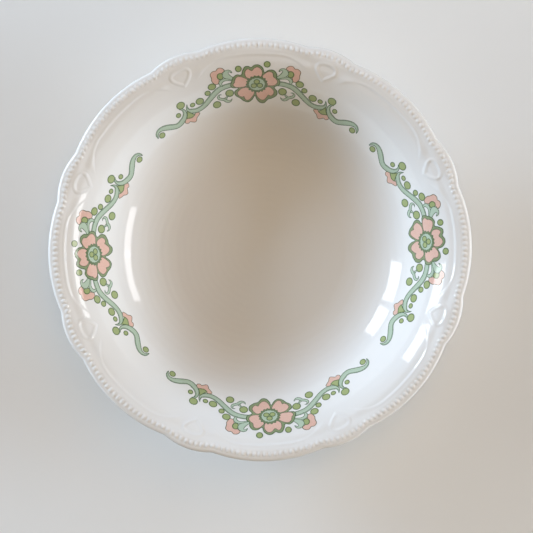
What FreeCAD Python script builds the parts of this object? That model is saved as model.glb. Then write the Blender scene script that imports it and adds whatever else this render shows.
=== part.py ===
import FreeCAD, Part
import math
import os
import Sketcher
from FreeCAD import Vector

doc = FreeCAD.newDocument("serving_bowl")

# Driving dimensions, in millimetres unless the word says otherwise.
driving = {
    "rim_radius": 118.0,          # crest of every scallop
    "floor_radius": 48.0,         # flat part of the well
    "floor_level": 9.5,
    "underside_level": 5.5,
    "cavetto_radius": 51.0,
    "wall_slope_deg": 52.0,       # steepest part of the wall
    "wall_straight_end": 94.0,
    "flare_radius": 50.0,
    "land_radius": 110.9,         # where the flat land under the beads begins
    "wall_thickness": 4.0,
    "lip_round": 1.65,
    "foot_outer": 59.4,
    "foot_inner": 53.6,
    "foot_taper": 1.3,
    "foot_round": 1.1,
    "long_scallop_radius": 82.0,
    "short_scallop_radius": 38.0,
    "notch_round": 8.0,
    "bead_inset": 3.95,           # bead centre, in from the scalloped edge
    "bead_half_length": 1.55,
    "bead_round": 1.18,           # a bead is half a capsule of this radius
    "moulding_rise": 0.55,
    "moulding_half_width": 0.5,
    "cartouche_rise": 0.6,
    "cartouche_half_width": 0.42,
    "film": 0.2,                  # thickness of the printed films
    "print_height": 60.0,
    "skin_start": 79.0,           # innermost radius of anything on the wall
}
repeats = 8
beads_per_repeat = 30
garland_turns = {"east": 0.9, "north": 89.3, "west": 179.8, "south": 271.4}

sheet = doc.addObject("Spreadsheet::Sheet", "dims")
for row, (word, value) in enumerate(driving.items(), start=1):
    sheet.set("A%d" % row, word)
    sheet.set("B%d" % row, repr(value))
    sheet.setAlias("B%d" % row, word)
doc.recompute()


def dim(word):
    return float(getattr(sheet, word))


def polar(radius, degrees):
    turn = math.radians(degrees)
    return Vector(radius * math.cos(turn), radius * math.sin(turn), 0)


def bind(thing, prop, expression):
    thing.setExpression(prop, expression)


def plane(body, role):
    return [f for f in body.Origin.OriginFeatures if f.Role == role][0]


# ---- the section of the bowl, as tangent arcs and one straight ----

slope = math.radians(dim("wall_slope_deg"))
sine, cosine = math.sin(slope), math.cos(slope)
cavetto_centre = Vector(dim("floor_radius"), dim("floor_level") + dim("cavetto_radius"), 0)
cavetto_end = cavetto_centre + Vector(sine, -cosine, 0) * dim("cavetto_radius")
straight_run = dim("wall_straight_end") - cavetto_end.x
flare_start = Vector(dim("wall_straight_end"), cavetto_end.y + straight_run * sine / cosine, 0)
flare_centre = flare_start + Vector(sine, -cosine, 0) * dim("flare_radius")
rim_sine = (flare_centre.x - dim("land_radius")) / dim("flare_radius")
rim_cosine = math.sqrt(1 - rim_sine ** 2)
land_level = flare_centre.y + dim("flare_radius") * rim_cosine


def section_arc(centre, radius, start, end):
    """Arc in a sketch plane from start to end, always anticlockwise, radius measured from centre."""
    a = math.atan2(start.y - centre.y, start.x - centre.x)
    b = math.atan2(end.y - centre.y, end.x - centre.x)
    if b < a:
        b += 2 * math.pi
    return Part.ArcOfCircle(Part.Circle(centre, Vector(0, 0, 1), radius), a, b)


def wall_arcs(depth):
    """Cavetto, straight and flare of the wall, depth below the glazed surface (negative is above)."""
    low = dim("cavetto_radius") + depth
    high = dim("flare_radius") - depth
    a = cavetto_centre + Vector(0, -low, 0)
    b = cavetto_centre + Vector(sine, -cosine, 0) * low
    c = flare_centre + Vector(-sine, cosine, 0) * high
    d = flare_centre + Vector(-rim_sine, rim_cosine, 0) * high
    return a, b, c, d, low, high


def fill_sketch(sketch, pieces):
    """Put line and arc pieces in a sketch, joined end to end in the order given."""
    for piece in pieces:
        sketch.addGeometry(piece, False)
    doc.recompute()


def new_body(label, pieces):
    """Body revolved a full turn from pieces in its XZ plane."""
    body = doc.addObject("PartDesign::Body", label)
    body.Label = label
    sketch = body.newObject("Sketcher::SketchObject", label + "_section")
    sketch.AttachmentSupport = [(plane(body, "XZ_Plane"), "")]
    sketch.MapMode = "FlatFace"
    doc.recompute()
    fill_sketch(sketch, pieces)
    turn = body.newObject("PartDesign::Revolution", label + "_turned")
    turn.Profile = sketch
    turn.ReferenceAxis = (sketch, ["V_Axis"])
    turn.Angle = 360.0
    doc.recompute()
    return body


# ---- the scalloped outline ----

step_deg = 360.0 / repeats


def meet(c1, r1, c2, r2, outward):
    """Crossing of two circles: the one further from the origin, or the nearer one."""
    gap = c2 - c1
    d = gap.Length
    along = (d * d + r1 * r1 - r2 * r2) / (2 * d)
    rise = math.sqrt(max(r1 * r1 - along * along, 0))
    unit = gap / d
    side = Vector(-unit.y, unit.x, 0) * rise
    pair = sorted((c1 + unit * along + side, c1 + unit * along - side), key=lambda p: p.Length)
    return pair[1] if outward else pair[0]


def scallop_arcs(inset):
    """The closed outline as tangent arcs, moved in from the edge by inset."""
    long_r, short_r = dim("long_scallop_radius"), dim("short_scallop_radius")
    notch_r = dim("notch_round")
    arcs = []
    for k in range(repeats):
        turn = k * step_deg
        long_c = polar(dim("rim_radius") - long_r, turn)
        short_c = polar(dim("rim_radius") - short_r, turn + step_deg / 2)
        next_c = polar(dim("rim_radius") - long_r, turn + step_deg)
        notch_a = meet(long_c, long_r + notch_r, short_c, short_r + notch_r, True)
        notch_b = meet(short_c, short_r + notch_r, next_c, long_r + notch_r, True)
        previous = polar(notch_b.Length, math.degrees(math.atan2(notch_b.y, notch_b.x)) - step_deg)
        a = long_c + (previous - long_c).normalize() * (long_r - inset)
        b = long_c + (notch_a - long_c).normalize() * (long_r - inset)
        c = short_c + (notch_a - short_c).normalize() * (short_r - inset)
        d = short_c + (notch_b - short_c).normalize() * (short_r - inset)
        e = next_c + (notch_b - next_c).normalize() * (long_r - inset)
        arcs.append(section_arc(long_c, long_r - inset, a, b))
        arcs.append(section_arc(notch_a, notch_r + inset, c, b))
        arcs.append(section_arc(short_c, short_r - inset, c, d))
        arcs.append(section_arc(notch_b, notch_r + inset, e, d))
    return arcs


# ---- bowl body ----

def make_body():
    a, b, c, d, low, high = wall_arcs(0.0)
    t = dim("wall_thickness")
    a2, b2, c2, d2, low2, high2 = wall_arcs(t)
    foot_edge = Vector(dim("foot_outer") + 0.6, dim("underside_level"), 0)
    chord = b2 - foot_edge
    bend = slope - math.atan2(chord.y, chord.x)
    sag = Vector(chord.y, -chord.x, 0) * (0.5 * math.tan(bend / 2))
    belly_mid = foot_edge + chord * 0.5 + sag
    over = dim("rim_radius") + 6.0
    pieces = [
        Part.LineSegment(Vector(0, dim("underside_level"), 0), foot_edge),
        Part.Arc(foot_edge, belly_mid, b2),
        Part.LineSegment(b2, c2),
        section_arc(flare_centre, high2, d2, c2),
        Part.LineSegment(d2, Vector(over, d2.y, 0)),
        Part.LineSegment(Vector(over, d2.y, 0), Vector(over, d.y, 0)),
        Part.LineSegment(Vector(over, d.y, 0), d),
        section_arc(flare_centre, high, d, c),
        Part.LineSegment(c, b),
        section_arc(cavetto_centre, low, a, b),
        Part.LineSegment(a, Vector(0, dim("floor_level"), 0)),
        Part.LineSegment(Vector(0, dim("floor_level"), 0), Vector(0, dim("underside_level"), 0)),
    ]
    body = new_body("bowl_body", pieces)
    before = body.Shape.Volume
    edge = body.newObject("Sketcher::SketchObject", "scalloped_edge")
    edge.AttachmentSupport = [(plane(body, "XY_Plane"), "")]
    edge.MapMode = "FlatFace"
    doc.recompute()
    ring = Part.Circle(Vector(0, 0, 0), Vector(0, 0, 1), over + 4.0)
    fill_sketch(edge, scallop_arcs(0.0) + [ring])
    trim = body.newObject("PartDesign::Pocket", "scallops")
    trim.Profile = edge
    trim.Type = 1
    trim.Midplane = True
    doc.recompute()
    if not body.Shape.Volume < before - 1.0:
        raise RuntimeError("the scallops cut nothing")
    names = []
    for number, side in enumerate(trim.Shape.Edges, start=1):
        spots = [side.valueAt(side.FirstParameter + f * (side.LastParameter - side.FirstParameter))
                 for f in (0.2, 0.5, 0.8)]
        flat = [min(abs(p.z - d.y), abs(p.z - d2.y)) < 0.01 for p in spots]
        if all(flat) and min(math.hypot(p.x, p.y) for p in spots) > d2.x + 1.5:
            names.append("Edge%d" % number)
    lip = body.newObject("PartDesign::Fillet", "rolled_lip")
    lip.Base = (trim, names)
    bind(lip, "Radius", "dims.lip_round")
    doc.recompute()
    body.Tip = lip
    doc.recompute()
    return body


def make_foot():
    low, high = 0.0, dim("underside_level")
    inner, outer, taper = dim("foot_inner"), dim("foot_outer"), dim("foot_taper")
    round_r = dim("foot_round")
    corners = [Vector(inner, high, 0), Vector(outer, high, 0),
               Vector(outer - taper, low, 0), Vector(inner + taper, low, 0)]
    pieces = [Part.LineSegment(corners[i], corners[(i + 1) % 4]) for i in range(4)]
    body = new_body("foot_ring", pieces)
    turned = body.Tip
    names = ["Edge%d" % n for n, side in enumerate(turned.Shape.Edges, start=1)
             if side.BoundBox.ZMax < 0.01]
    soft = body.newObject("PartDesign::Fillet", "foot_softened")
    soft.Base = (turned, names)
    bind(soft, "Radius", "dims.foot_round")
    doc.recompute()
    body.Tip = soft
    doc.recompute()
    return body


# ---- beads ----

def make_bead():
    """One bead: half a capsule lying on the land, long way outwards."""
    body = doc.addObject("PartDesign::Body", "bead")
    sketch = body.newObject("Sketcher::SketchObject", "bead_section")
    sketch.AttachmentSupport = [(plane(body, "XZ_Plane"), "")]
    sketch.MapMode = "FlatFace"
    doc.recompute()
    half, r = dim("bead_half_length"), dim("bead_round")
    left, right = Vector(r - half, 0, 0), Vector(half - r, 0, 0)
    up = Vector(0, r, 0)
    fill_sketch(sketch, [
        section_arc(left, r, left + up, Vector(-half, 0, 0)),
        Part.LineSegment(Vector(-half, 0, 0), Vector(half, 0, 0)),
        section_arc(right, r, Vector(half, 0, 0), right + up),
        Part.LineSegment(right + up, left + up)])
    turn = body.newObject("PartDesign::Revolution", "bead_turned")
    turn.Profile = sketch
    turn.ReferenceAxis = (sketch, ["H_Axis"])
    turn.Midplane = True
    turn.Angle = 180.0
    doc.recompute()
    return body


def make_beads():
    line = Part.Wire([arc.toShape() for arc in scallop_arcs(dim("bead_inset"))])
    count = repeats * beads_per_repeat
    spots = line.discretize(Number=count + 1)[:count]
    bead = make_bead()
    beads = []
    for k, spot in enumerate(spots):
        ahead, behind = spots[(k + 1) % count], spots[k - 1]
        run = ahead - behind
        turn = math.degrees(math.atan2(run.y, run.x)) - 90
        copy = doc.addObject("Part::Compound", "bead_%03d" % (k + 1))
        copy.Links = [bead]
        copy.Placement = FreeCAD.Placement(Vector(spot.x, spot.y, land_level),
                                           FreeCAD.Rotation(Vector(0, 0, 1), turn))
        beads.append(copy)
    group = doc.addObject("Part::Compound", "rim_beading")
    group.Label = "rim_beading"
    group.Links = beads
    doc.recompute()
    return group


# ---- shapes that lie on the wall: outlines raised straight up, kept where they meet a thin shell ----

def make_shell(label, word):
    """Ring-shaped skin on the glazed wall, as thick as the named dimension."""
    up = -dim(word)
    a, b, c, d, low, high = wall_arcs(0.0)
    a2, b2, c2, d2, low2, high2 = wall_arcs(up)
    run = (dim("skin_start") - dim("floor_radius")) / dim("cavetto_radius")
    ray = Vector(run, -math.sqrt(1 - run ** 2), 0)
    start, start2 = cavetto_centre + ray * low, cavetto_centre + ray * low2
    pieces = [section_arc(cavetto_centre, low, start, b), Part.LineSegment(b, c),
              section_arc(flare_centre, high, d, c), Part.LineSegment(d, d2),
              section_arc(flare_centre, high2, d2, c2), Part.LineSegment(c2, b2),
              section_arc(cavetto_centre, low2, start2, b2), Part.LineSegment(start2, start)]
    return new_body(label, pieces)


def raised(label, loops, shell):
    """Solids where the outlines, raised straight up, meet the shell."""
    flat = doc.addObject("Sketcher::SketchObject", label + "_outline")
    fill_sketch(flat, [piece for loop in loops for piece in loop])
    prism = doc.addObject("Part::Extrusion", label + "_raised")
    prism.Base = flat
    prism.DirMode = "Normal"
    prism.Solid = True
    prism.FaceMakerClass = "Part::FaceMakerBullseye"
    bind(prism, "LengthFwd", "dims.print_height")
    doc.recompute()
    skin = doc.addObject("Part::Common", label)
    skin.Label = label
    skin.Base = prism
    skin.Tool = shell
    doc.recompute()
    return skin


def smooth_line(points):
    curve = Part.BSplineCurve()
    curve.interpolate(points)
    return curve


def ribbon(points, widths):
    """Closed outline of a band along points; widths are its half-widths at those points."""
    middle = smooth_line(points)
    left, right = [], []
    for spot, half in zip(points, widths):
        run = middle.tangent(middle.parameter(spot))[0]
        side = Vector(-run.y, run.x, 0).normalize() * half
        left.append(spot + side)
        right.append(spot - side)
    return [smooth_line(left), Part.LineSegment(left[-1], right[-1]),
            smooth_line(right), Part.LineSegment(right[0], left[0])]


def oval(centre, along, outwards):
    """Ellipse with its long half-axis square to the line from the bowl's centre."""
    out = Vector(centre).normalize()
    across = Vector(-out.y, out.x, 0)
    return [Part.Ellipse(centre + across * along, centre + out * outwards, centre)]


def closed_curve(points):
    curve = Part.BSplineCurve()
    curve.interpolate(Points=points, PeriodicFlag=True)
    return [curve]


def make_mouldings(shell):
    loops = []
    half = dim("moulding_half_width")
    bends = [(18.0, 102.4), (16.4, 104.4), (14.2, 106.7), (11.6, 108.7), (8.6, 109.6), (4.3, 109.7)]
    sides = [(-a, r) for a, r in bends] + [(0.0, 109.7)] + [(a, r) for a, r in reversed(bends)]
    widths = [half * min(1.0, 0.45 + 0.2 * min(i, len(sides) - 1 - i)) for i in range(len(sides))]
    for k in range(repeats):
        points = [polar(r, k * step_deg + a) for a, r in sides]
        loops.append(ribbon(points, widths))
    return raised("panel_mouldings", loops, shell)


def make_cartouches(shell):
    """Teardrop loops, point inwards, each a closed ring."""
    loops = []
    half = dim("cartouche_half_width")
    bends = [(0.0, 109.9), (1.9, 109.3), (3.1, 107.7), (3.1, 105.6), (1.9, 103.6)]
    point = (0.0, 101.9)
    for k in range(repeats):
        centre = (k + 0.5) * step_deg
        for grow in (half, -half):
            ring = [polar(r, centre + a) for a, r in bends]
            ring = [polar(point[1], centre + point[0])] + ring[:0:-1] + ring[:1] + [
                polar(r, centre - a) for a, r in bends[1:]] + [polar(point[1], centre + point[0])]
            middle = polar(106.3, centre)
            grown = [p + (p - middle).normalize() * grow for p in ring]
            loops.append([smooth_line(grown)])
    return raised("loop_cartouches", loops, shell)


# ---- garland prints, drawn at +X: places are (along the rim at the flower's radius, radius) ----

flower_radius = 94.0
flower_shift = 0.6            # the flower's middle stands a little clockwise of the garland's
petals = [
    [(-13.4, 94.8), (-12.3, 96.0), (-11.9, 97.1), (-10.9, 98.0), (-9.6, 98.2), (-7.4, 97.7),
     (-5.5, 96.2), (-6.2, 94.4), (-7.6, 93.5), (-10.2, 93.4), (-12.4, 93.8)],
    [(-6.1, 99.3), (-5.6, 100.9), (-4.4, 101.5), (-2.6, 100.6), (-1.2, 101.7), (0.4, 102.3),
     (2.0, 101.6), (2.9, 99.9), (2.3, 98.3), (0.0, 98.3), (-2.2, 98.0), (-4.2, 97.4), (-5.7, 98.1)],
    [(3.2, 97.9), (5.2, 99.6), (7.0, 100.1), (8.5, 99.6), (9.0, 97.9), (10.6, 96.8), (11.4, 95.5),
     (10.3, 94.2), (7.9, 93.7), (6.2, 94.0), (5.7, 95.8), (4.4, 97.1)],
    [(-0.4, 90.0), (1.0, 90.5), (3.8, 91.0), (6.1, 92.7), (8.0, 92.4), (9.7, 90.9), (9.4, 89.5),
     (7.6, 88.5), (5.5, 88.0), (3.9, 86.9), (2.2, 87.0), (0.4, 88.3)],
    [(-11.3, 90.8), (-9.8, 92.1), (-7.4, 92.6), (-5.4, 91.8), (-2.6, 90.4), (-2.5, 89.3), (-4.2, 87.6),
     (-6.2, 87.0), (-7.9, 87.6), (-9.2, 88.9), (-10.8, 89.9)],
]
edging_line = [
    (-15.0, 94.5), (-14.0, 96.6), (-13.0, 98.2), (-10.6, 99.3), (-8.4, 99.1), (-7.4, 101.0),
    (-6.0, 102.8), (-4.2, 103.0), (-2.7, 102.5), (-0.9, 103.5), (1.3, 103.4), (3.3, 102.0),
    (4.3, 100.0), (6.4, 101.0), (9.0, 101.0), (10.8, 99.4), (11.3, 97.6), (12.8, 96.3),
    (12.8, 94.4), (10.6, 93.0), (11.9, 91.2), (11.6, 89.2), (9.0, 87.6), (6.6, 86.7), (4.4, 85.3),
    (1.6, 85.4), (-0.4, 87.0), (-1.4, 88.4), (-3.2, 86.8), (-5.8, 85.8), (-8.6, 86.6),
    (-10.6, 88.0), (-13.0, 89.7), (-13.2, 91.6), (-11.4, 92.9), (-13.6, 93.4)]
heart = (4.6, 2.9)            # half-axes of the pale middle
heart_radius = 94.2
trefoil = [(0.0, 95.35, 1.15, 0.75), (-1.8, 93.5, 1.2, 0.75), (1.8, 93.6, 1.2, 0.75)]
bud_cap = [
    (36.8, 86.3), (38.0, 85.5), (39.4, 84.9), (40.4, 83.8), (41.6, 83.5), (43.0, 84.1), (44.4, 84.7),
    (45.8, 84.6), (46.6, 85.1), (45.8, 85.8), (44.0, 86.0), (42.1, 85.8), (40.4, 86.0), (38.6, 86.8)]
bud_calyx = (42.9, 87.25, 1.3, 0.9)
half_blossom = [
    (16.5, 102.4), (17.4, 103.6), (19.0, 103.8), (20.4, 102.9), (21.9, 102.9), (23.3, 101.9),
    (23.3, 100.0), (23.4, 98.7), (22.4, 97.1), (20.9, 97.1), (20.9, 98.4), (21.3, 99.8),
    (20.6, 101.3), (19.0, 102.1), (17.6, 102.0)]
blossom_eye = (18.9, 100.0, 1.55, 1.4)
berries = [                   # along, radius, half-axes
    (15.6, 91.2, 2.5, 1.65), (24.6, 87.25, 2.5, 1.6), (24.6, 96.1, 2.3, 1.45),
    (27.95, 93.8, 1.75, 1.15), (33.8, 91.5, 2.5, 1.5), (38.55, 91.3, 1.6, 0.95),
    (44.9, 93.6, 2.5, 1.65), (48.8, 90.0, 1.6, 1.1), (63.9, 86.8, 2.1, 1.25)]
single_berries = [(-8.8, 102.2, 1.7, 1.5), (6.1, 103.8, 1.75, 1.45)]
bands = [                     # along, radius, half-width
    [(45.3, 91.4, 0.2), (44.75, 90.6, 0.45), (44.8, 89.6, 0.7), (45.6, 88.4, 0.95),
     (47.0, 87.3, 1.15), (48.8, 86.6, 1.25), (50.8, 86.1, 1.25), (53.0, 86.1, 1.25),
     (55.0, 86.7, 1.25), (57.5, 87.8, 1.3), (60.0, 88.8, 1.2), (62.4, 89.4, 0.95),
     (64.6, 89.3, 0.75), (66.2, 88.5, 0.6), (67.0, 87.0, 0.25)],
    [(14.6, 94.6, 0.9), (17.5, 94.5, 1.1), (20.5, 94.1, 1.2), (23.0, 93.2, 1.2), (25.5, 92.0, 1.2),
     (28.0, 90.7, 1.15), (30.5, 89.5, 1.15), (33.0, 88.6, 1.1), (35.5, 88.15, 1.1),
     (38.0, 88.2, 1.1), (40.3, 88.8, 1.0), (42.0, 89.8, 0.75), (42.2, 91.1, 0.45), (41.6, 92.3, 0.12)],
    [(13.0, 98.6, 0.3), (14.4, 99.0, 0.6), (15.5, 99.9, 1.0), (15.6, 101.0, 1.0),
     (14.6, 101.7, 0.75), (13.3, 101.4, 0.5), (12.5, 100.6, 0.2)],
    [(14.4, 97.2, 0.2), (15.8, 97.5, 0.4), (17.2, 97.6, 0.5), (18.8, 97.4, 0.55),
     (19.7, 96.9, 0.4), (19.9, 96.3, 0.15)],
    [(14.9, 88.3, 0.12), (15.9, 87.6, 0.4), (17.3, 87.4, 0.55), (18.6, 87.9, 0.6),
     (19.6, 88.7, 0.6), (21.0, 89.2, 0.6), (22.1, 89.8, 0.55), (22.4, 90.6, 0.4),
     (21.6, 91.2, 0.25), (20.7, 91.3, 0.12)],
]


def spot(along, radius, side=1):
    """Point of the garland, to one side (1) of its middle or mirrored to the other (-1)."""
    return polar(radius, -math.degrees(along / flower_radius) * side)


def by_flower(along, radius):
    return spot(along + flower_shift, radius)


def petal_loops():
    return [closed_curve([by_flower(x, r) for x, r in petal]) for petal in petals]


def make_petals(shell):
    loops = petal_loops()
    for side in (1, -1):
        for cap in (bud_cap, half_blossom):
            loops.append(closed_curve([spot(x, r, side) for x, r in cap]))
    return raised("print_petals", loops, shell)


def make_edging(shell):
    outline = closed_curve([by_flower(x, r) for x, r in edging_line])
    loops = [outline] + petal_loops() + [oval(by_flower(0, heart_radius), *heart)]
    return raised("print_edging", loops, shell)


def trefoil_loops():
    return [oval(by_flower(x, r), along, out) for x, r, along, out in trefoil]


def make_stems(shell):
    loops = [oval(by_flower(0, heart_radius), *heart)] + trefoil_loops()
    for side in (1, -1):
        for band in bands:
            points = [spot(x, r, side) for x, r, half in band]
            loops.append(ribbon(points, [half for x, r, half in band]))
    return raised("print_stems", loops, shell)


def make_berries(shell):
    loops = trefoil_loops()
    for side in (1, -1):
        for x, r, along, out in berries + [bud_calyx, blossom_eye]:
            loops.append(oval(spot(x, r, side), along, out))
    loops += [oval(spot(x, r), along, out) for x, r, along, out in single_berries]
    return raised("print_berries", loops, shell)


def turned_copies(source, kind):
    """The same print laid on the four sides, each where the hand put it."""
    copies = []
    for side, turn in garland_turns.items():
        name = "garland_%s_%s" % (side, kind)
        copy = doc.addObject("Part::Compound", name)
        copy.Label = name
        copy.Links = [source]
        copy.Placement = FreeCAD.Placement(Vector(0, 0, 0),
                                           FreeCAD.Rotation(Vector(0, 0, 1), turn))
        copies.append(copy)
    doc.recompute()
    return copies


def make_all():
    nodes = [make_body(), make_foot(), make_beads()]
    nodes.append(make_mouldings(make_shell("moulding_skin", "moulding_rise")))
    nodes.append(make_cartouches(make_shell("cartouche_skin", "cartouche_rise")))
    film = make_shell("print_skin", "film")
    for kind, maker in (("petals", make_petals), ("edging", make_edging),
                        ("stems", make_stems), ("berries", make_berries)):
        nodes += turned_copies(maker(film), kind)
    return nodes


parts = make_all()
doc.recompute()

for thing in doc.Objects:
    if "Invalid" in thing.State or "Error" in thing.State:
        raise RuntimeError("%s is in state %s" % (thing.Name, thing.State))
for node in parts:
    shape = node.Shape
    if shape.isNull() or not shape.isValid() or not shape.Solids:
        raise RuntimeError("%s has no valid solid" % node.Label)

os.makedirs("parts", exist_ok=True)
for node in parts:
    node.Shape.exportStep("parts/%s.step" % node.Label)
    box = node.Shape.BoundBox
    print("%s: %d solids, %.1f mm3, z %.2f to %.2f" % (
        node.Label, len(node.Shape.Solids), node.Shape.Volume, box.ZMin, box.ZMax))
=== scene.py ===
import math

import bmesh
import bpy
from mathutils import Matrix, Vector


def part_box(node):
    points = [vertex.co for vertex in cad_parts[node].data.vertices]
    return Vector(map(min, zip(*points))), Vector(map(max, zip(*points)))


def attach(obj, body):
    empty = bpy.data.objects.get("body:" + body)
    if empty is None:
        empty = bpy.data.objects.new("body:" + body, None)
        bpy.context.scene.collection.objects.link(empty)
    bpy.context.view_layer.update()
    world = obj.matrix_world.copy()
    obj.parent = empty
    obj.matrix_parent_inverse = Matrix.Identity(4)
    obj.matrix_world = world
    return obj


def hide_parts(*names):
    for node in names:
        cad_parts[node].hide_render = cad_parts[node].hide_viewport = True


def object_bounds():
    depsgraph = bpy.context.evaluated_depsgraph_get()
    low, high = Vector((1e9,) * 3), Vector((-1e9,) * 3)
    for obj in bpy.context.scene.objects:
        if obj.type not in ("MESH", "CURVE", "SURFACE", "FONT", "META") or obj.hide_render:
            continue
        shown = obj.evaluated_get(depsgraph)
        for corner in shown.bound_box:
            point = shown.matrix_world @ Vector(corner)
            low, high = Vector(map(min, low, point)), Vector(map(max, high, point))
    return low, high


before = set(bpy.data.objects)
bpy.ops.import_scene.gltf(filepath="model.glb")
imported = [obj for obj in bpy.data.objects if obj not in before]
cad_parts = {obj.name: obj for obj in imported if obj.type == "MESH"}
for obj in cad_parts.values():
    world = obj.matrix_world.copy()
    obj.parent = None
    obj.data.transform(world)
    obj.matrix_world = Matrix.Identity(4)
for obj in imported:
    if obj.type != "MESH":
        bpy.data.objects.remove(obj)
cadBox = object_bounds()
print("frame loaded:", len(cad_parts), "nodes")

mm = 0.001
fullTurn = 2 * math.pi

# the wall's section, in millimetres, from the well out to the flat under the beads
section = {
    "floorRadius": 48.0, "cavetto": 51.0, "slope": math.radians(52.0), "straightEnd": 94.0,
    "flare": 50.0, "landRadius": 110.9, "soften": 1.3, "thickness": 4.0, "footJoin": 60.0,
    "fluteStart": 104.8, "fluteEnd": 112.8, "fluteDepth": 0.55,
}
rimRadius = cadBox[1].x / mm
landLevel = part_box("rim_beading")[0].z / mm
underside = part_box("bowl_body")[0].z / mm
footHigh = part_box("foot_ring")[1]


def clamp01(value):
    return max(0.0, min(1.0, value))


def ease(value):
    t = clamp01(value)
    return t * t * (3 - 2 * t)


cavettoEnd = section["floorRadius"] + section["cavetto"] * math.sin(section["slope"])


def wallRise(radius):
    # height over the floor of the well
    s = section
    lift = 0.0
    if radius > s["floorRadius"]:
        run = min(radius, cavettoEnd) - s["floorRadius"]
        lift += s["cavetto"] - math.sqrt(s["cavetto"] ** 2 - run ** 2)
    if radius > cavettoEnd:
        lift += (min(radius, s["straightEnd"]) - cavettoEnd) * math.tan(s["slope"])
    if radius > s["straightEnd"]:
        sine = math.sin(s["slope"]) - (min(radius, s["landRadius"]) - s["straightEnd"]) / s["flare"]
        lift += s["flare"] * (math.sqrt(1 - sine ** 2) - math.cos(s["slope"]))
    return lift


floorLevel = landLevel - wallRise(section["landRadius"])


def plainLevel(radius):
    # glazed surface of the inside, with the edge of the bead land softened
    land, soft = section["landRadius"], section["soften"]
    if not land - soft < radius < land + soft:
        return floorLevel + wallRise(radius)
    t = (radius - land + soft) / (2 * soft)
    low, high = floorLevel + wallRise(land - soft), landLevel
    slopeIn = (wallRise(land - soft) - wallRise(land - soft - 0.1)) / 0.1
    corner = min(low + slopeIn * soft, high)
    return (1 - t) ** 2 * low + 2 * t * (1 - t) * corner + t * t * high


def fluteDip(radius):
    # the shallow hollow that runs round under the beads
    start, end = section["fluteStart"], section["fluteEnd"]
    if not start < radius < end:
        return 0.0
    return section["fluteDepth"] * math.sin(math.pi * (radius - start) / (end - start)) ** 2


def wallLevel(radius):
    return plainLevel(radius) - fluteDip(radius)


scallop = {"long": 82.0, "short": 38.0, "round": 0.6, "repeats": 8, "reach": 3.6}
step = fullTurn / scallop["repeats"]


def lobeEdge(radius, turn):
    # distance to a circle of this radius whose crest lies on the rim, seen from the bowl's axis
    centre = rimRadius - radius
    return centre * math.cos(turn) + math.sqrt(radius ** 2 - (centre * math.sin(turn)) ** 2)


def rimEdge(angle):
    turn = (angle + step / 2) % step - step / 2
    a = lobeEdge(scallop["long"], turn)
    b = lobeEdge(scallop["short"], abs(turn) - step / 2)
    h = clamp01(0.5 + 0.5 * (a - b) / scallop["round"])
    return b + (a - b) * h + scallop["round"] * h * (1 - h) * 0.5


def scalloped(radius, angle):
    # pulls the outermost few millimetres in to the scalloped outline
    share = ease((radius - section["landRadius"]) / scallop["reach"])
    return radius + share * (rimEdge(angle) - rimRadius)


def onWall(radius, angle, lift):
    # point over the glazed wall, lifted square to it
    slope = math.atan((wallLevel(radius + 0.05) - wallLevel(radius - 0.05)) / 0.1)
    r = radius - lift * math.sin(slope)
    z = wallLevel(radius) + lift * math.cos(slope)
    return Vector((r * math.cos(angle), r * math.sin(angle), z)) * mm


def smoothPiece(bm, name, nodes, material):
    mesh = bpy.data.meshes.new(name)
    bm.to_mesh(mesh)
    bm.free()
    for face in mesh.polygons:
        face.use_smooth = True
    mesh.materials.append(material)
    piece = bpy.data.objects.new(name, mesh)
    bpy.context.scene.collection.objects.link(piece)
    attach(piece, "root")
    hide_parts(*nodes)


def spunRing(bm, points, steps, closed=False):
    # turns a line of (radius, level) points round the bowl's axis
    verts = [bm.verts.new((r, 0, z)) for r, z in points]
    edges = [bm.edges.new(pair) for pair in zip(verts, verts[1:])]
    if closed:
        edges.append(bm.edges.new((verts[-1], verts[0])))
    bmesh.ops.spin(bm, geom=verts + edges, cent=(0, 0, 0), axis=(0, 0, 1), angle=fullTurn,
                   steps=steps, use_merge=True)


def arcLine(centre, radius, start, end, count):
    # points along an arc, both ends included
    line = []
    for k in range(count + 1):
        a = math.radians(start + (end - start) * k / count)
        line.append((centre[0] + radius[0] * math.cos(a), centre[1] + radius[1] * math.sin(a)))
    return line


bodyShape = {
    "steps": 720, "row": 1.15, "lipInset": 2.35, "lipDrop": 1.78, "lipUnder": 1.7,
    "well": (0, 6, 13, 21, 29, 36, 42, 46, 48), "landSpots": (113.3, 114.3), "lipStart": 114.6,
    "flarePoints": 8, "bellyPoints": 14,
    "bottom": (58.6, 57.0, 54.8, 53.4, 48, 40, 30, 20, 10, 0),
}


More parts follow.
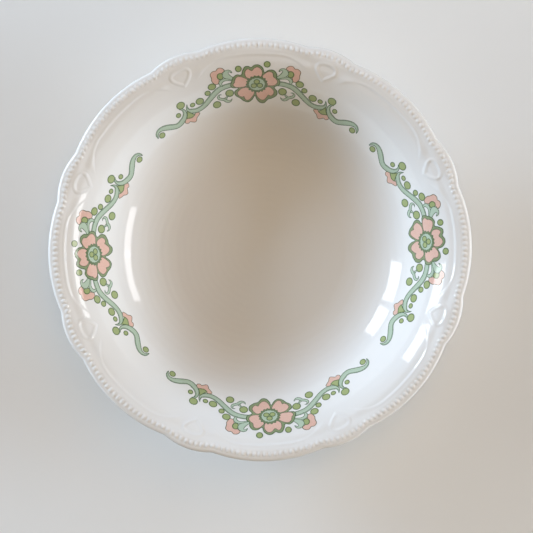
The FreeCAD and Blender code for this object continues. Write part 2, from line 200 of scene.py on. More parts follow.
def bodyLine():
    s, b = section, bodyShape
    inside = [(r, wallLevel(r)) for r in b["well"]]
    run = s["landRadius"] + 1.5 - s["floorRadius"]
    rows = int(run / b["row"])
    for k in range(1, rows + 1):
        r = s["floorRadius"] + run * k / rows
        inside.append((r, wallLevel(r)))
    inside += [(r, landLevel) for r in b["landSpots"]]
    middle = landLevel - b["lipDrop"]
    upper = arcLine((rimRadius - b["lipInset"], middle), (b["lipInset"], b["lipDrop"]), 90, 0, 9)
    lower = arcLine((rimRadius - b["lipUnder"], middle), (b["lipUnder"], b["lipDrop"]), 0, -90, 7)
    low = middle - b["lipDrop"]
    under = [(b["lipStart"], low)]
    sine = math.sin(s["slope"]) - (s["landRadius"] - s["straightEnd"]) / s["flare"]
    t = s["thickness"]
    outside = []
    for k in range(b["flarePoints"] + 1):  # outside of the flare
        a = math.asin(sine + (math.sin(s["slope"]) - sine) * k / b["flarePoints"])
        r = s["straightEnd"] + (math.sin(s["slope"]) - math.sin(a)) * s["flare"]
        outside.append((r + t * math.sin(a), floorLevel + wallRise(r) - t * math.cos(a)))
    join = (cavettoEnd + t * math.sin(s["slope"]),
            floorLevel + wallRise(cavettoEnd) - t * math.cos(s["slope"]))
    foot = (s["footJoin"], underside)
    chord = Vector((join[0] - foot[0], join[1] - foot[1]))
    bend = s["slope"] - math.atan2(chord.y, chord.x)
    radius = chord.length / (2 * math.sin(bend))
    for k in range(b["bellyPoints"] + 1):  # belly, from the wall down to the foot
        a = s["slope"] - 2 * bend * k / b["bellyPoints"]
        outside.append((join[0] - radius * (math.sin(s["slope"]) - math.sin(a)),
                        join[1] - radius * (math.cos(a) - math.cos(s["slope"]))))
    bottom = [(r, underside) for r in b["bottom"]]
    return inside + upper + lower[1:] + under + outside + bottom


def makeBody(material):
    bm = bmesh.new()
    spunRing(bm, [(r * mm, z * mm) for r, z in bodyLine()], bodyShape["steps"])
    bmesh.ops.remove_doubles(bm, verts=bm.verts, dist=1e-6)
    for vert in bm.verts:
        r = math.hypot(vert.co.x, vert.co.y) / mm
        if r > section["landRadius"]:
            angle = math.atan2(vert.co.y, vert.co.x)
            place = scalloped(r, angle) * mm
            vert.co.x, vert.co.y = place * math.cos(angle), place * math.sin(angle)
    bmesh.ops.recalc_face_normals(bm, faces=bm.faces)
    smoothPiece(bm, "bowlBody", ["bowl_body"], material)


footShape = {"steps": 288, "inner": 53.6, "middle": 56.5, "taper": 1.3, "round": 1.1}


def makeFoot(material):
    f = footShape
    outer, inner = footHigh.x / mm, f["inner"]
    top, r = footHigh.z / mm, f["round"]
    line = [(inner, top), (inner + 0.1, top * 0.6)]
    line += arcLine((inner + f["taper"] + r * 0.9, r), (r, r), 195, 270, 6)
    line += [(f["middle"], 0.0)]
    line += arcLine((outer - f["taper"] - r * 0.9, r), (r, r), 270, 345, 6)
    line += [(outer - 0.1, top * 0.6), (outer, top)]
    bm = bmesh.new()
    spunRing(bm, [(a * mm, z * mm) for a, z in line], f["steps"], closed=True)
    bmesh.ops.recalc_face_normals(bm, faces=bm.faces)
    smoothPiece(bm, "footRing", ["foot_ring"], material)


beads = {"count": 240, "perBead": 10, "inset": 3.95, "halfBand": 1.9, "halfLength": 1.6,
         "halfWidth": 1.35, "rise": 0.48, "rows": 12, "clear": 0.012, "gridStart": 100}


def makeBeads(material):
    b = beads
    bm = bmesh.new()
    line = [(b["gridStart"] + k, 0) for k in range(b["rows"] + 1)]
    spunRing(bm, line, b["count"] * b["perBead"])
    pitch = fullTurn / b["count"]
    for vert in bm.verts:
        angle = math.atan2(vert.co.y, vert.co.x)
        row = round(math.hypot(vert.co.x, vert.co.y)) - b["gridStart"]
        across = row / b["rows"] * 2 - 1
        radius = rimEdge(angle) - b["inset"] + across * b["halfBand"]
        along = ((angle / pitch) % 1.0 - 0.5) * pitch * radius
        wide = b["halfWidth"] * (1 + 0.1 * across)
        gone = (along / wide) ** 2 + (across * b["halfBand"] / b["halfLength"]) ** 2
        rise = b["rise"] * max(0.0, 1 - gone)
        vert.co = Vector((radius * math.cos(angle), radius * math.sin(angle),
                          wallLevel(radius) + b["clear"] + rise)) * mm
    faceUp(bm)
    smoothPiece(bm, "rimBeading", ["rim_beading"], material)


def curveBetween(near, f):
    before, a, b, after = near
    return 0.5 * ((2 * a) + (b - before) * f + (2 * before - 5 * a + 4 * b - after) * f * f
                  + (3 * a - before - 3 * b + after) * f ** 3)


def pointOn(points, t):
    # smooth line through points, t from 0 to 1
    place = clamp01(t) * (len(points) - 1)
    k = min(int(place), len(points) - 2)
    a, b = points[k], points[k + 1]
    before = points[k - 1] if k > 0 else a * 2 - b
    after = points[k + 2] if k + 2 < len(points) else b * 2 - a
    return curveBetween((before, a, b, after), place - k)


def mappedGrid(bm, columns, rows, place, shades=None):
    # a grid whose points go where place(column share, row number) says
    part = bmesh.new()
    tone = part.verts.layers.float.new("tone")
    bmesh.ops.create_grid(part, x_segments=columns, y_segments=rows, size=0.5)
    for vert in part.verts:
        u, row = vert.co.x + 0.5, round((vert.co.y + 0.5) * rows)
        vert[tone] = shades[row] if shades else 0.0
        vert.co = place(u, row)
    joinPart(bm, part)


def faceUp(bm):
    bm.normal_update()
    for face in bm.faces:
        if face.normal.z < 0:
            face.normal_flip()


def joinPart(bm, part):
    mesh = bpy.data.meshes.new("part")
    part.to_mesh(mesh)
    part.free()
    bm.from_mesh(mesh)
    bpy.data.meshes.remove(mesh)


reliefClear = 0.02  # keeps the edge of a raised line just over the glaze
moulding = {  # one bracket line: degrees from the panel's middle, radius
    "line": [(18.6, 101.4), (17.0, 103.6), (15.5, 105.6), (13.5, 107.3), (11.3, 108.5),
             (8.6, 109.1), (4.3, 109.2), (0.0, 109.2)],
    "rise": 0.26, "inner": 1.4, "outer": 1.2, "armOuter": 4.6, "columns": 150, "rows": 14,
}


def makeMouldings(material):
    m = moulding
    half = [Vector((r * math.cos(math.radians(a)), r * math.sin(math.radians(a))))
            for a, r in m["line"]]
    line = [Vector((p.x, -p.y)) for p in half] + half[-2::-1]
    bm = bmesh.new()
    for k in range(scallop["repeats"]):
        def place(u, row):
            here = pointOn(line, u)
            run = (pointOn(line, u + 0.004) - pointOn(line, u - 0.004)).normalized()
            side = Vector((run.y, -run.x))
            if side.dot(here) < 0:
                side = -side
            arm = ease((abs(u - 0.5) * 2 - 0.35) / 0.4)
            wide = m["outer"] + (m["armOuter"] - m["outer"]) * arm
            v = row / m["rows"]
            offset = -m["inner"] + v * (m["inner"] + wide)
            fade = ease(min(u, 1 - u) * 7)
            rise = m["rise"] * fade * (ease(1 + offset / m["inner"]) if offset < 0
                                       else 1 - ease(offset / wide))
            spot = here + side * offset * (0.35 + 0.65 * fade)
            angle = math.atan2(spot.y, spot.x) + k * step
            return onWall(spot.length, angle, reliefClear + rise)
        mappedGrid(bm, m["columns"], m["rows"], place)
    faceUp(bm)
    smoothPiece(bm, "panelMouldings", ["panel_mouldings"], material)


loop = {"wide": 7.2, "tall": 4.1, "middle": 105.6, "half": 1.5, "rise": 0.26,
        "columns": 96, "rows": 12}


def makeLoops(material):
    m = loop
    bm = bmesh.new()
    for k in range(scallop["repeats"]):
        centre = (k + 0.5) * step

        def spot(t):
            a = t * fullTurn
            wide = m["wide"] * math.sin(a) * abs(math.sin(a / 2))
            return Vector((wide, -m["tall"] * math.cos(a)))

        def place(u, row):
            here = spot(u)
            run = spot(u + 0.01) - spot(u - 0.01)
            side = Vector((run.y, -run.x)).normalized()
            v = row / m["rows"] * 2 - 1
            p = here + side * v * m["half"]
            rise = m["rise"] * (0.5 + 0.5 * math.cos(math.pi * v))
            radius = math.hypot(m["middle"] + p.y, p.x)
            angle = centre + math.atan2(p.x, m["middle"] + p.y)
            return onWall(radius, angle, reliefClear + rise)
        mappedGrid(bm, m["columns"], m["rows"], place)
    faceUp(bm)
    smoothPiece(bm, "loopCartouches", ["loop_cartouches"], material)


# the printed garlands, drawn flat as (along the rim at the flower's radius, radius),
# and mirrored about the middle

flowerRadius = 94.0
flowerShift = 0.6
printSlope = 0.68  # how much the wall's steepness narrows the print as seen from above
layers = {"lift": 0.03, "gap": 0.015}
lineWidth = 0.45
edgeStep = 0.08   # how fast the dark line gives way to the colour inside it
hubPoints = 24    # points of an outline that its middle is taken from


def onPrint(turn, along, radius, layer):
    return onWall(radius, turn - along / flowerRadius, layers["lift"] + layer * layers["gap"])


def oval(along, radius, halfAlong, halfOut, teeth=0, depth=0.0):
    def outline(t):
        a = t * fullTurn
        size = 1 + depth * math.cos(teeth * a)
        return Vector((along + halfAlong * size * math.cos(a),
                       radius + halfOut * size * math.sin(a)))
    return outline


def drawn(points):
    # closed smooth line through the points
    count = len(points)

    def outline(t):
        place = (t % 1.0) * count
        k, f = int(place) % count, place % 1.0
        near = [Vector(points[(k + n) % count]) for n in (-1, 0, 1, 2)]
        return curveBetween(near, f)
    return outline


def patch(bm, turn, outline, rings, steps, layer):
    # rings are (share of the way out, millimetres in from the line, tone), outermost first
    corners = [outline(k / hubPoints) for k in range(hubPoints)]
    hub = sum(corners, Vector((0, 0))) / hubPoints
    area = sum((a - hub).cross(b - hub) for a, b in zip(corners, corners[1:] + corners[:1]))
    inward = 1 if area > 0 else -1
    part = bmesh.new()
    tone = part.verts.layers.float.new("tone")
    count = len(rings)
    spunRing(part, [(count - k, 0) for k in range(count + 1)], steps)
    bmesh.ops.remove_doubles(part, verts=part.verts, dist=1e-3)
    for vert in part.verts:
        k = count - round(math.hypot(vert.co.x, vert.co.y))
        t = math.atan2(vert.co.y, vert.co.x) / fullTurn
        share, inset, shade = rings[k] if k < count else (0.0, 0.0, rings[-1][2])
        run = outline(t + 0.004) - outline(t - 0.004)
        run.y /= printSlope
        side = Vector((-run.y, run.x)).normalized() * inward
        edge = outline(t) + Vector((side.x, side.y * printSlope)) * inset
        spot = hub + (edge - hub) * share
        vert[tone] = shade
        vert.co = onPrint(turn, spot.x, spot.y, layer)
    joinPart(bm, part)


def band(bm, turn, points, rows, columns, layer):
    # points are (along, radius, half width); rows are (side, millimetres in, tone)
    line = [Vector(p) for p in points]

    def place(u, row):
        here = pointOn(line, u)
        run = pointOn(line, u + 0.01) - pointOn(line, u - 0.01)
        side = Vector((-run.y / printSlope, run.x)).normalized()
        sign, inset, shade = rows[row]
        wide = max(0.0, here.z / printSlope - inset) * sign
        return onPrint(turn, here.x + side.x * wide, here.y + side.y * printSlope * wide, layer)
    mappedGrid(bm, columns, len(rows) - 1, place, [shade for sign, inset, shade in rows])


petals = [
    [(-13.4, 94.8), (-12.4, 95.8), (-11.9, 97.1), (-10.9, 98.1), (-9.6, 98.3), (-7.4, 97.7),
     (-5.0, 96.2), (-5.0, 94.4), (-7.0, 93.4), (-10.2, 93.3), (-12.4, 93.7)],
    [(-6.2, 99.4), (-5.7, 100.9), (-4.4, 101.6), (-2.6, 100.6), (-1.2, 101.8), (0.4, 102.4),
     (2.0, 101.7), (3.0, 99.9), (2.4, 97.8), (0.0, 96.6), (-2.2, 96.6), (-4.2, 97.0), (-5.8, 97.9)],
    [(3.0, 97.8), (5.2, 99.7), (7.0, 100.2), (8.6, 99.6), (9.1, 97.9), (10.6, 96.9), (11.5, 95.5),
     (10.3, 94.1), (7.9, 93.6), (5.0, 93.8), (4.0, 95.2), (3.2, 96.6)],
    [(-0.6, 90.0), (0.6, 91.4), (3.4, 92.2), (6.1, 92.9), (8.0, 92.6), (9.9, 90.9), (9.3, 89.3),
     (7.8, 88.8), (6.7, 89.2), (5.7, 88.0), (4.2, 86.8), (2.2, 86.8), (0.3, 88.1)],
    [(-11.6, 90.6), (-9.8, 92.2), (-7.4, 92.8), (-4.6, 92.6), (-2.2, 91.0), (-1.8, 89.8),
     (-4.2, 87.4), (-6.0, 86.8), (-7.4, 87.3), (-8.0, 88.7), (-9.2, 88.6), (-10.7, 89.2)],
]
edgingLine = [
    (-15.1, 94.5), (-14.1, 96.6), (-13.0, 98.3), (-10.6, 99.5), (-8.3, 99.1), (-7.5, 101.0),
    (-6.1, 102.9), (-4.2, 103.1), (-2.7, 102.5), (-0.9, 103.6), (1.3, 103.6), (3.4, 102.1),
    (4.3, 100.0), (6.4, 101.1), (9.0, 101.2), (10.9, 99.5), (11.2, 97.6), (12.9, 96.4),
    (12.9, 94.3), (10.2, 92.9), (12.0, 91.2), (11.8, 89.1), (9.0, 87.5), (6.8, 86.9), (4.4, 85.1),
    (1.6, 85.2), (-0.5, 86.9), (-1.4, 88.5), (-3.2, 86.7), (-5.8, 85.7), (-8.6, 86.5),
    (-10.6, 88.0), (-13.1, 89.6), (-13.3, 91.6), (-11.0, 92.9), (-13.8, 93.3)]
trefoil = [(0.0, 95.35, 1.8, 1.2), (-1.75, 93.45, 1.85, 1.15), (1.75, 93.55, 1.85, 1.15)]
budCap = [
    (36.6, 86.4), (38.0, 85.4), (39.4, 84.8), (40.4, 83.7), (41.6, 83.3), (43.0, 83.9), (44.4, 84.6),
    (45.8, 84.3), (47.2, 85.0), (46.8, 86.0), (44.6, 86.8), (42.1, 86.6), (40.0, 86.9), (38.2, 87.1)]
budCalyx = [(39.4, 86.7), (40.8, 87.8), (42.0, 89.0), (42.9, 90.0), (43.7, 89.0), (44.6, 87.8),
            (45.5, 86.7), (43.8, 86.1), (42.1, 85.8), (40.6, 86.1)]
halfBlossom = [
    (16.2, 102.3), (17.2, 103.7), (19.1, 104.0), (20.5, 103.0), (22.0, 103.1), (23.6, 102.0),
    (23.5, 100.0), (23.7, 98.6), (22.6, 96.9), (20.8, 96.8), (20.0, 98.2), (19.6, 99.8),
    (19.0, 100.8), (17.8, 101.4)]
blossomEye = (18.8, 99.95, 1.9, 1.7)
berries = [
    (15.6, 91.2, 2.6, 1.75), (24.6, 87.25, 2.65, 1.7), (24.6, 96.1, 2.4, 1.6),
    (27.95, 93.8, 1.8, 1.25), (33.8, 91.5, 2.55, 1.6), (38.55, 91.3, 1.65, 1.05),
    (44.9, 93.6, 2.6, 1.75), (48.8, 90.0, 1.65, 1.15), (63.9, 86.8, 2.15, 1.4)]
loneBerries = [(-8.8, 102.1, 1.75, 1.6), (6.1, 103.8, 1.8, 1.6)]
stems = [
    [(46.9, 92.2, 0.15), (45.7, 91.9, 0.4), (44.8, 91.0, 0.65), (44.7, 89.7, 0.85),
     (45.5, 88.4, 1.05), (47.0, 87.3, 1.2), (48.8, 86.6, 1.3), (50.8, 86.1, 1.3), (53.0, 86.1, 1.3),
     (55.0, 86.7, 1.3), (57.5, 87.8, 1.35), (60.0, 88.8, 1.25), (62.4, 89.4, 1.05),
     (64.6, 89.3, 0.85), (66.3, 88.4, 0.65), (67.1, 86.8, 0.2)],
    [(12.0, 94.8, 1.2), (14.6, 94.8, 1.2), (17.5, 94.6, 1.2), (20.5, 94.1, 1.25), (23.0, 93.2, 1.25),
     (25.5, 92.0, 1.25), (28.0, 90.7, 1.2), (30.5, 89.5, 1.2), (33.0, 88.6, 1.15),
     (35.5, 88.15, 1.15), (38.0, 88.2, 1.15), (40.3, 88.8, 1.1), (42.0, 89.8, 0.85),
     (42.2, 91.2, 0.5), (41.4, 92.7, 0.1)],
]
leaves = [
    [(11.6, 97.4, 0.6), (13.0, 98.0, 0.8), (14.6, 98.8, 1.15), (15.8, 99.9, 1.35), (15.6, 101.1, 1.1),
     (14.6, 101.8, 0.75), (13.3, 101.5, 0.5), (12.4, 100.5, 0.15)],
    [(12.6, 96.9, 0.3), (14.4, 97.4, 0.45), (16.6, 97.9, 0.65), (18.6, 97.6, 0.8),
     (19.6, 96.7, 0.75), (19.4, 95.7, 0.5), (18.6, 95.0, 0.12)],
    [(14.7, 88.5, 0.1), (15.6, 87.7, 0.4), (17.0, 87.4, 0.6), (18.4, 87.9, 0.75), (19.5, 88.7, 0.7),
     (21.0, 89.2, 0.65), (22.3, 89.8, 0.65), (22.7, 90.7, 0.5), (21.7, 91.4, 0.3), (20.4, 91.3, 0.1)],
    [(16.3, 90.2, 0.1), (17.4, 89.8, 0.35), (18.6, 89.1, 0.55), (19.8, 88.7, 0.4)],
]


def filled(edge, tone, count):
    # the edge rings given, then even ones closing on the middle
    inset = edge[-1][1]
    return edge + [(1 - k / count, inset, tone) for k in range(1, count)]


pinkRings = filled([(1.0, -0.3, 0.0), (1.0, 0.08, 0.0), (1.0, 0.14, 0.5)], 0.5, 8)
greenRings = filled([(1.0, 0.0, 0.0), (1.0, lineWidth, 0.0), (1.0, lineWidth + edgeStep, 0.5)], 0.5, 16)
berryRings = filled([(1.0, 0.0, 0.0), (1.0, lineWidth, 0.05), (1.0, lineWidth + edgeStep, 0.5)], 0.75, 5)
ringRings = filled([(1.0, 0.0, 0.0), (1.0, 0.25, 0.15)], 0.2, 9)
heartRings = filled([(1.0, 0.0, 0.1), (1.0, 0.2, 0.3), (1.0, 0.4, 0.9)], 0.6, 8)
stemRows = [(-1, 0.0, 0.0), (-1, lineWidth, 0.0), (-1, lineWidth + edgeStep, 0.5), (-1, 0.95, 0.5),
            (1, 1.15, 0.75), (1, 0.95, 0.55), (1, 0.87, 0.1), (1, 0.68, 0.1), (1, 0.6, 0.6),
            (1, lineWidth + 0.06, 0.5), (1, lineWidth, 0.0), (1, 0.0, 0.0)]
leafRows = [(-1, 0.0, 0.0), (-1, 0.34, 0.0), (-1, 0.42, 0.55), (-1, 0.7, 0.8),
            (1, 0.7, 0.8), (1, 0.42, 0.5), (1, 0.34, 0.0), (1, 0.0, 0.0)]
inkSlots = {"petals": "print_pink", "edging": "print_dark_green", "stems": "print_sage",
            "berries": "print_olive"}


def garlandPieces(side, turn, inks):
    bm = {kind: bmesh.new() for kind in inkSlots}
    for each in bm.values():
        each.verts.layers.float.new("tone")
    centre = turn - flowerShift / flowerRadius

    patch(bm["edging"], centre, drawn(edgingLine), greenRings, 252, 5)
    for petal in petals:
        patch(bm["petals"], centre, drawn(petal), pinkRings, 66, 6)
    patch(bm["edging"], centre, oval(0, 94.25, 6.0, 3.95, 18, 0.065), ringRings, 108, 7)
    patch(bm["stems"], centre, oval(0, 94.2, 4.6, 2.9, 18, 0.025), heartRings, 108, 8)
    for lobe in trefoil:
        patch(bm["berries"], centre, oval(*lobe), berryRings, 28, 9)

    for way in (1, -1):
        # the other half is the same drawing, mirrored
        def mirrored(outline):
            return lambda t: Vector((outline(t).x * way, outline(t).y))
        for cap in (budCap, halfBlossom):
            patch(bm["petals"], turn, mirrored(drawn(cap)), pinkRings, 70, 1)
        patch(bm["berries"], turn, mirrored(drawn(budCalyx)), berryRings, 40, 3)
        patch(bm["berries"], turn, mirrored(oval(*blossomEye)), berryRings, 28, 3)
        for berry in berries:
            patch(bm["berries"], turn, mirrored(oval(*berry)), berryRings, 32, 2)
        for lines, rows, layer in ((stems, stemRows, 1), (leaves, leafRows, 4)):
            flipped = [(sign * way, inset, shade) for sign, inset, shade in rows]
            for line in lines:
                band(bm["stems"], turn, [(x * way, r, w) for x, r, w in line], flipped,
                     90 if lines is stems else 32, layer)
    for berry in loneBerries:
        patch(bm["berries"], turn, oval(*berry), berryRings, 32, 2)

    for kind in bm:
        faceUp(bm[kind])
        name = "garland" + side.capitalize() + kind.capitalize()
        smoothPiece(bm[kind], name, ["garland_%s_%s" % (side, kind)], inks[kind])


class Wire:
    # one value in a shader, so that sums on it read as sums
    def __init__(self, shader, socket):
        self.shader, self.socket = shader, socket

    def mathWith(self, operation, first, second):
        node = self.shader.add("ShaderNodeMath", {"operation": operation}, {0: first, 1: second})
        return Wire(self.shader, node.outputs[0])

    def __add__(self, other):
        return self.mathWith("ADD", self, other)

    def __radd__(self, other):
        return self.mathWith("ADD", other, self)

    def __sub__(self, other):
        return self.mathWith("SUBTRACT", self, other)

    def __rsub__(self, other):
        return self.mathWith("SUBTRACT", other, self)

    def __mul__(self, other):
        return self.mathWith("MULTIPLY", self, other)

    def __rmul__(self, other):
        return self.mathWith("MULTIPLY", other, self)

    def sine(self):
        node = self.shader.add("ShaderNodeMath", {"operation": "SINE"}, {0: self})
        return Wire(self.shader, node.outputs[0])


class Shader:
    def __init__(self, name):
        self.material = bpy.data.materials.new(name)
        self.material.use_nodes = True
        self.nodes = self.material.node_tree.nodes
        self.links = self.material.node_tree.links
        self.surface = self.nodes["Principled BSDF"]

    def add(self, kind, settings=None, inputs=None):
        node = self.nodes.new(kind)
        for word, value in (settings or {}).items():
            if word == "stops":
                ramp = node.color_ramp
                for place, colour in value[1:-1]:
                    ramp.elements.new(place)
                for element, (place, colour) in zip(ramp.elements, value):
                    element.position, element.color = place, (*colour, 1)
            else:
                setattr(node, word, value)
        for socket, value in (inputs or {}).items():
            self.feed(node.inputs[socket], value)
        return node

    def feed(self, socket, value):
        if isinstance(value, Wire):
            self.links.new(value.socket, socket)
        elif hasattr(value, "is_output"):
            self.links.new(value, socket)
        else:
            socket.default_value = value

    def wire(self, node, output=0):
        return Wire(self, node.outputs[output])

    def mix(self, share, first, second):
        node = self.add("ShaderNodeMix", {"data_type": "RGBA"}, {"Factor": share})
        self.feed(node.inputs["A"], first)
        self.feed(node.inputs["B"], second)
        colours = [o for o in node.outputs if o.type == "RGBA"]
        return colours[0]

    def finish(self, **sockets):
        for name, value in sockets.items():
            self.feed(self.surface.inputs[name.replace("_", " ")], value)
        return self.material


glaze = {"colour": (0.80, 0.775, 0.735, 1), "pooled": (0.765, 0.745, 0.71, 1), "roughness": 0.07,
         "ior": 1.5, "coat": 0.35, "coatRoughness": 0.03, "wave": 0.00035, "bare": (0.62, 0.55, 0.46, 1),
         "ringsPerMetre": fullTurn / 0.0041, "ringShare": 0.1, "edgeShare": 1.1}


def glazeWaves(shader, place, strength=0.25):
    # slow unevenness of a thick glaze, and the faint rings left by the turning
    noise = shader.add("ShaderNodeTexNoise", {}, {"Vector": place, "Scale": 55.0, "Detail": 1.0})
    waves = shader.wire(noise)
    level = shader.add("ShaderNodeVectorMath", {"operation": "MULTIPLY"}, {0: place, 1: (1, 1, 0)})
    across = shader.add("ShaderNodeVectorMath", {"operation": "LENGTH"}, {0: level.outputs[0]})
    rings = ((shader.wire(across, "Value") + waves * 0.004) * glaze["ringsPerMetre"]).sine()
    wellEdge = shader.wire(shader.add("ShaderNodeMapRange", {"interpolation_type": "SMOOTHSTEP"}, {
        "Value": shader.wire(across, "Value"), "From Min": 0.0565, "From Max": 0.0595}))
    height = waves + rings * glaze["ringShare"] - wellEdge * glaze["edgeShare"]
    bump = shader.add("ShaderNodeBump", {}, {"Strength": strength, "Distance": glaze["wave"],
                                              "Height": height})
    return bump.outputs[0]


def glazedPorcelain():
    shader = Shader("glazedPorcelain")
    place = shader.add("ShaderNodeTexCoord").outputs["Object"]
    clouds = shader.add("ShaderNodeTexNoise", {}, {"Vector": place, "Scale": 22.0, "Detail": 2.0})
    tint = shader.mix(clouds.outputs["Fac"], glaze["colour"], glaze["pooled"])
    return shader.finish(Base_Color=tint, Roughness=glaze["roughness"], IOR=glaze["ior"],
                         Coat_Weight=glaze["coat"], Coat_Roughness=glaze["coatRoughness"],
                         Normal=glazeWaves(shader, place))


def footPorcelain():
    # glazed like the rest, but wiped bare where it stands
    shader = Shader("footPorcelain")
    place = shader.add("ShaderNodeTexCoord").outputs["Object"]
    height = shader.wire(shader.add("ShaderNodeSeparateXYZ", {}, {"Vector": place}), 2)
    grit = shader.wire(shader.add("ShaderNodeTexNoise", {}, {"Vector": place, "Scale": 900.0}))
    edge = shader.add("ShaderNodeMapRange", {}, {"Value": height + grit * 0.0003,
                                                 "From Min": 0.0004, "From Max": 0.0007,
                                                 "To Min": 1.0, "To Max": 0.0})
    bare = shader.wire(edge)
    tint = shader.mix(bare, glaze["colour"], glaze["bare"])
    return shader.finish(Base_Color=tint, Roughness=bare * 0.55 + glaze["roughness"],
                         IOR=glaze["ior"], Coat_Roughness=glaze["coatRoughness"],
                         Coat_Weight=(1 - bare) * glaze["coat"])


def inkMaterial(name, ink):
    # printed colour under the glaze, dotted finely as a transfer is
    shader = Shader(name)
    place = shader.add("ShaderNodeTexCoord").outputs["Object"]
    tone = shader.add("ShaderNodeAttribute", {"attribute_name": "tone"})
    printed = shader.add("ShaderNodeValToRGB", {"stops": [
        (0.0, outlineInk), (0.5, ink["main"]), (1.0, ink["light"])]}, {"Fac": tone.outputs["Fac"]})
    dots = shader.add("ShaderNodeTexVoronoi", {}, {"Vector": place, "Scale": ink["dotScale"]})
    speck = shader.wire(shader.add("ShaderNodeMapRange", {}, {"Value": dots.outputs["Distance"],
                                                            "From Min": 0.3, "From Max": 0.6}))
    tint = shader.mix(speck * ink["dotShare"], printed.outputs["Color"], (*ink["dot"], 1))
    return shader.finish(Base_Color=tint, Roughness=glaze["roughness"], IOR=glaze["ior"],
                         Coat_Weight=glaze["coat"], Coat_Roughness=glaze["coatRoughness"],
                         Normal=glazeWaves(shader, place))


outlineInk = (0.05, 0.10, 0.05)
inkColours = {
    "petals": {"main": (0.74, 0.475, 0.385), "light": (0.76, 0.54, 0.46),
               "dot": (0.62, 0.385, 0.30), "dotScale": 1500.0, "dotShare": 0.35},
    "edging": {"main": (0.225, 0.28, 0.145), "light": (0.30, 0.36, 0.20),
               "dot": (0.30, 0.36, 0.20), "dotScale": 1400.0, "dotShare": 0.3},
    "stems": {"main": (0.38, 0.47, 0.345), "light": (0.50, 0.60, 0.47),
              "dot": (0.48, 0.57, 0.44), "dotScale": 1500.0, "dotShare": 0.3},
    "berries": {"main": (0.26, 0.315, 0.125), "light": (0.40, 0.46, 0.21),
                "dot": (0.36, 0.42, 0.18), "dotScale": 1500.0, "dotShare": 0.3},
}

porcelain = glazedPorcelain()
makeBody(porcelain)
makeFoot(footPorcelain())
print("body and foot made")
makeBeads(porcelain)
makeMouldings(porcelain)
makeLoops(porcelain)
print("beads, mouldings and loops made")
inks = {kind: inkMaterial("ink" + kind.capitalize(), ink) for kind, ink in inkColours.items()}
# degrees round the bowl: the hand that laid them was a little off the quarters
garlandTurns = {"east": 0.9, "north": 89.3, "west": 179.8, "south": 271.4}
for side, turn in garlandTurns.items():
    garlandPieces(side, math.radians(turn), inks)
print("garlands made")

table = {"size": 3.0, "colour": (0.728, 0.718, 0.69, 1), "roughness": 0.8}
bm = bmesh.new()
bmesh.ops.create_grid(bm, x_segments=1, y_segments=1, size=table["size"])
mesh = bpy.data.meshes.new("tableTop")
bm.to_mesh(mesh)
bm.free()
tableTop = bpy.data.objects.new("tableTop", mesh)
bpy.context.scene.collection.objects.link(tableTop)
mesh.materials.append(Shader("tableTop").finish(Base_Color=table["colour"],
                                                Roughness=table["roughness"]))

turned = math.radians(2.2)  # the bowl stands turned a little against the camera


def seenPoint(x, y, z):
    # a place given along the camera's own right and up, as a place in the bowl's frame
    return Vector((x * math.cos(turned) + y * math.sin(turned),
                   y * math.cos(turned) - x * math.sin(turned), z))


# azimuth and height in degrees as the camera sees them, distance, width, height, watts, colour
lights = {
    "windowLeft": (150.0, 14.0, 1.8, 0.75, 0.36, 36.5, (0.54, 0.74, 1.0)),
    "windowFarLeft": (180.0, 14.0, 1.8, 0.75, 0.36, 12.9, (0.85, 0.93, 1.0)),
    "windowRight": (0.0, 14.0, 1.8, 0.75, 0.36, 26.5, (0.58, 0.77, 1.0)),
    "doorway": (330.0, 14.0, 1.8, 0.75, 0.36, 8.4, (1.0, 0.80, 0.58)),
    "wallRight": (30.0, 32.0, 2.2, 1.0, 1.0, 7.6, (0.85, 0.93, 1.0)),
    "wallBack": (60.0, 60.0, 2.2, 1.2, 1.2, 7.8, (1.0, 0.62, 0.30)),
    "ceiling": (0.0, 90.0, 2.2, 1.3, 1.3, 11.0, (1.0, 0.81, 0.58)),
}
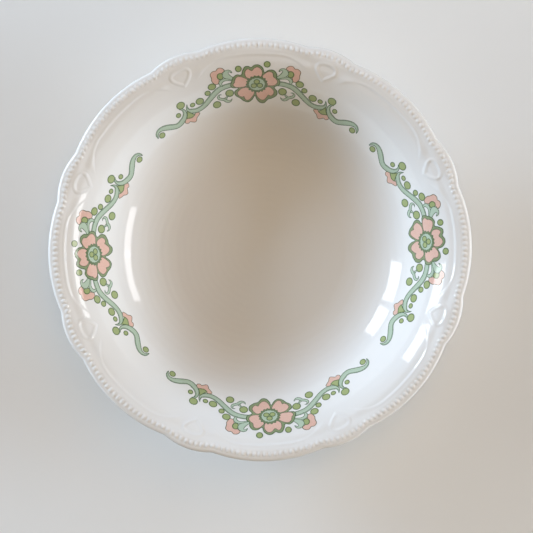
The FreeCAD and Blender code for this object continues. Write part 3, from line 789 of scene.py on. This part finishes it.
# panes that are only seen mirrored in the glaze
panes = {
    "paneLeftA": (147.5, 20.0, 1.6, 0.32, 0.42, 3.2, (0.90, 0.95, 1.0)),
    "paneLeftB": (165.0, 20.0, 1.6, 0.43, 0.42, 4.3, (0.90, 0.95, 1.0)),
    "paneRightA": (-6.6, 27.0, 1.7, 0.57, 0.25, 2.2, (0.98, 0.98, 1.0)),
    "paneRightB": (13.6, 27.0, 1.7, 0.57, 0.25, 2.2, (0.98, 0.98, 1.0)),
}


def addLight(name, azimuth, height, distance, wide, tall, watts, colour):
    lamp = bpy.data.lights.new(name, "AREA")
    lamp.shape, lamp.size, lamp.size_y = "RECTANGLE", wide, tall
    lamp.energy, lamp.color = watts, colour
    lampObject = bpy.data.objects.new(name, lamp)
    bpy.context.scene.collection.objects.link(lampObject)
    a, e = math.radians(azimuth), math.radians(height)
    aim = Vector((0, 0, landLevel * mm))
    place = seenPoint(math.cos(a) * math.cos(e) * distance, math.sin(a) * math.cos(e) * distance,
                      math.sin(e) * distance) + aim
    lampObject.location = place
    lampObject.rotation_euler = (aim - place).to_track_quat("-Z", "Y").to_euler()
    return lampObject


for name, values in lights.items():
    addLight(name, *values).visible_glossy = False
for name, values in panes.items():
    addLight(name, *values).visible_diffuse = False

world = bpy.data.worlds.new("room")
bpy.context.scene.world = world
world.use_nodes = True
world.node_tree.nodes["Background"].inputs["Color"].default_value = (1.0, 0.93, 0.84, 1)
world.node_tree.nodes["Background"].inputs["Strength"].default_value = 0.08

view = {"height": 0.72, "across": 0.2961, "stand": (0.006, -0.024), "aim": (0.00366, -0.00975)}
camera = bpy.data.cameras.new("camera")
cameraObject = bpy.data.objects.new("camera", camera)
bpy.context.scene.collection.objects.link(cameraObject)
rimPlane = landLevel * mm
eye = seenPoint(*view["stand"], rimPlane + view["height"])
target = seenPoint(*view["aim"], rimPlane)
forward = (target - eye).normalized()
right = seenPoint(1, 0, 0)
right = (right - forward * right.dot(forward)).normalized()
up = right.cross(forward)
cameraObject.matrix_world = Matrix.Translation(eye) @ Matrix((right, up, -forward)).transposed().to_4x4()
camera.sensor_width = 36.0
camera.lens = camera.sensor_width * (eye - target).length / view["across"]
camera.clip_start, camera.clip_end = 0.05, 20.0
bpy.context.scene.camera = cameraObject
bpy.context.scene.view_settings.view_transform = "Standard"
